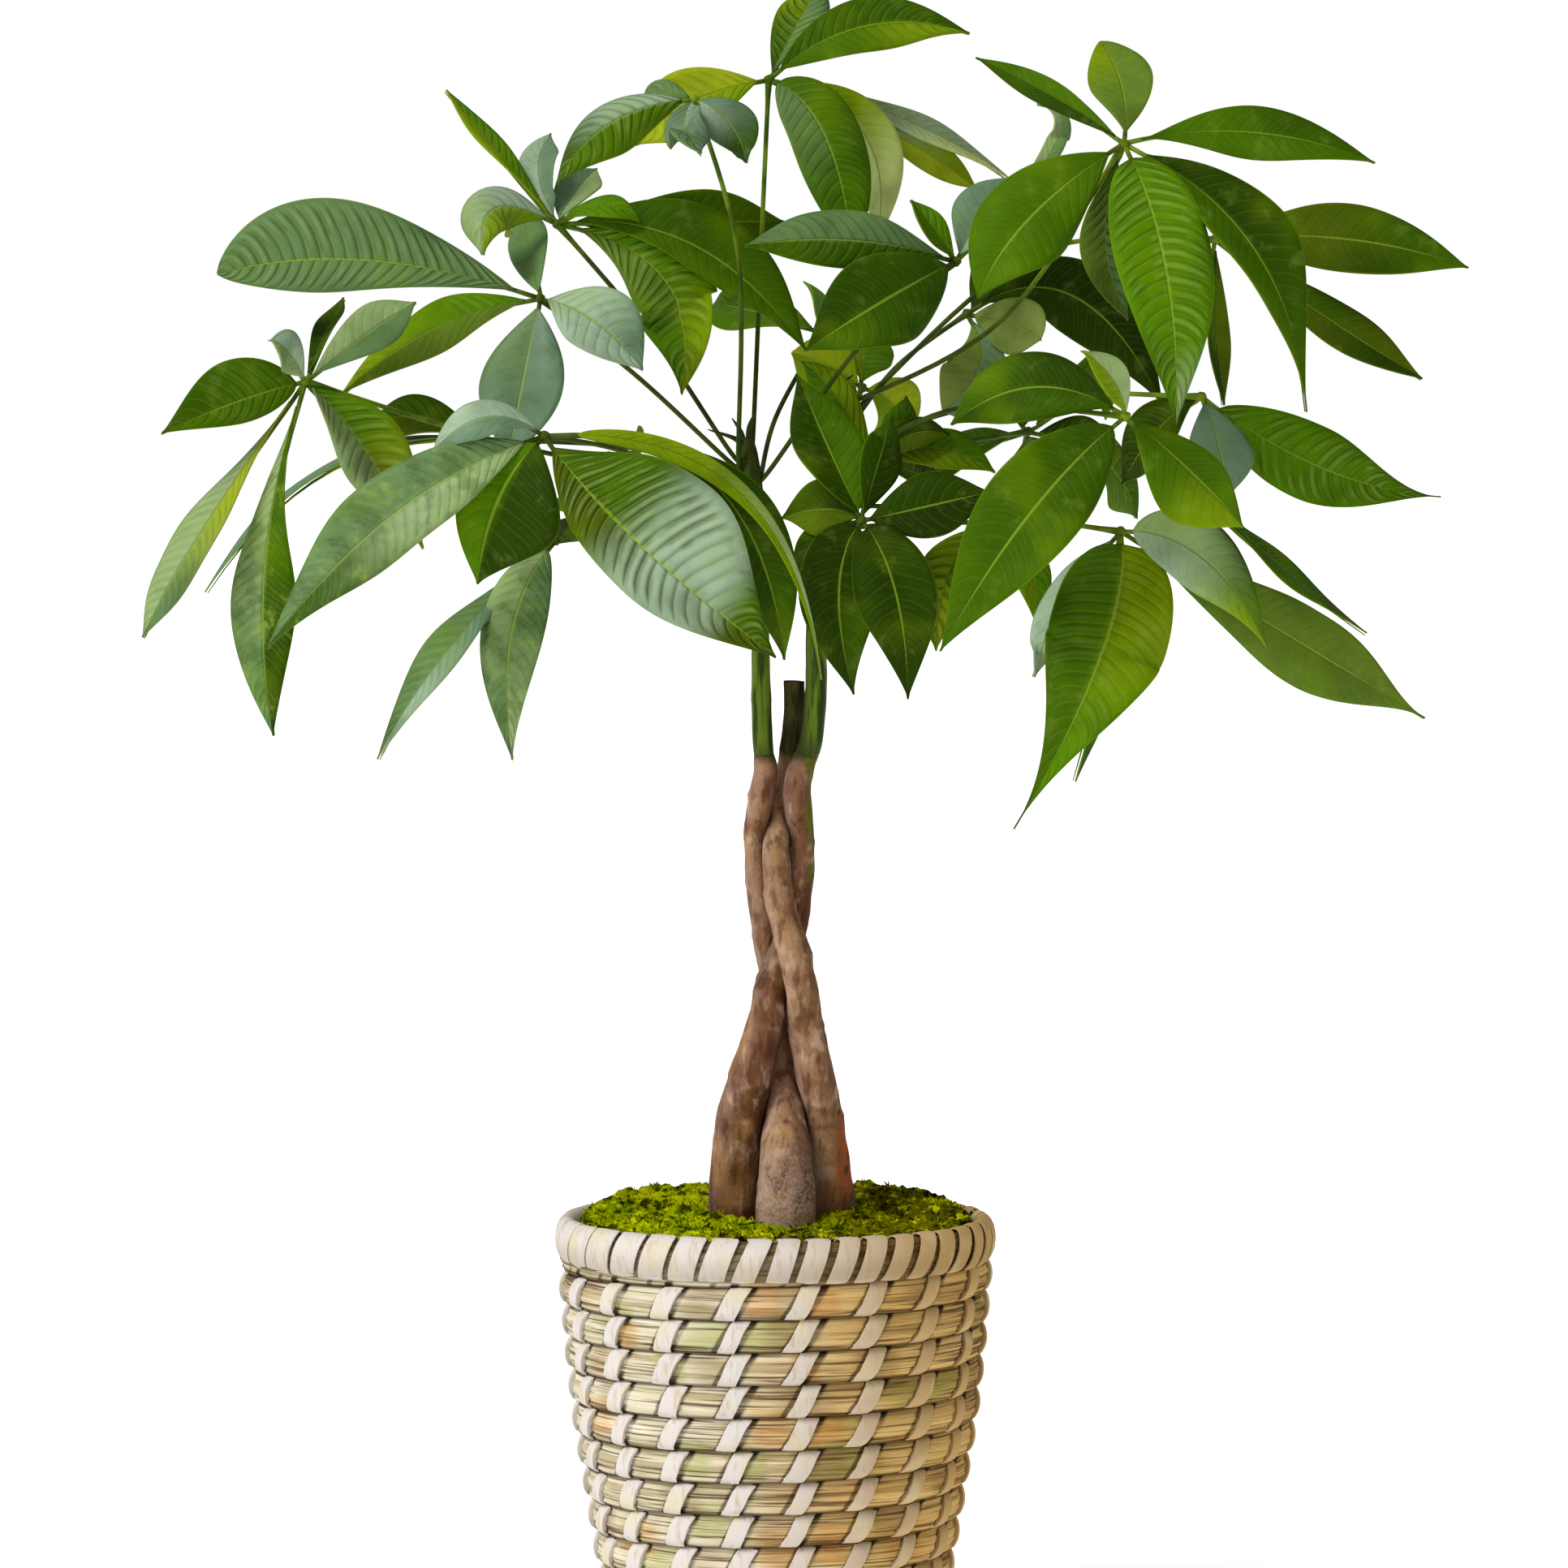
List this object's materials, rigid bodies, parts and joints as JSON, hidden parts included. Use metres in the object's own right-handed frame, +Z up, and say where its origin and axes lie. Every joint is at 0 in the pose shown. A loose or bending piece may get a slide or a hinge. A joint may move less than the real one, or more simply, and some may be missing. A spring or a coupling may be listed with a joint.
{
  "type": "potted plant",
  "caption": "Potted money tree: plaited trunks with spreading compound leaves, in a coiled seagrass basket with moss over the soil.",
  "frame": {"origin": "centre of the basket's flat bottom, on the surface it stands on", "axes": "+Z up along the trunks, -Y towards the front that the picture shows, +X to the picture's right"},
  "size_m": [0.6014, 0.3794, 0.769],
  "materials": {
    "seagrass": "matte",
    "palm_strip": "matte",
    "pot_plastic": "matte",
    "soil": "matte",
    "moss": "matte",
    "bark": "matte",
    "green_stem": "satin",
    "leaf_deep": "satin",
    "leaf_bright": "satin",
    "leaf_grey": "satin"
  },
  "bodies": {
    "root": {"basket_coil": "seagrass", "basket_binding": "palm_strip", "grow_pot": "pot_plastic", "soil": "soil", "moss": "moss", "trunk_left": "bark", "trunk_front": "bark", "trunk_right": "bark", "shoot_left": "green_stem", "shoot_right": "green_stem", "leaf_far_left": "leaf_deep", "leaf_upper_left": "leaf_grey", "leaf_front_left": "leaf_bright", "leaf_low_left": "leaf_deep", "leaf_high_left": "leaf_bright", "leaf_top": "leaf_bright", "leaf_top_left": "leaf_grey", "leaf_high_right": "leaf_bright", "leaf_far_right": "leaf_deep", "leaf_right": "leaf_deep", "leaf_front_right": "leaf_bright", "leaf_low_right": "leaf_bright", "leaf_inner_right": "leaf_deep", "leaf_inner_dark": "leaf_deep", "leaf_centre": "leaf_deep", "leaf_centre_green": "leaf_bright", "leaf_centre_low": "leaf_bright", "leaf_back_glow": "leaf_bright", "leaf_back_left": "leaf_deep", "leaf_left_behind": "leaf_grey", "leaf_back_right": "leaf_deep", "leaf_back": "leaf_deep"}
  },
  "joints": []
}
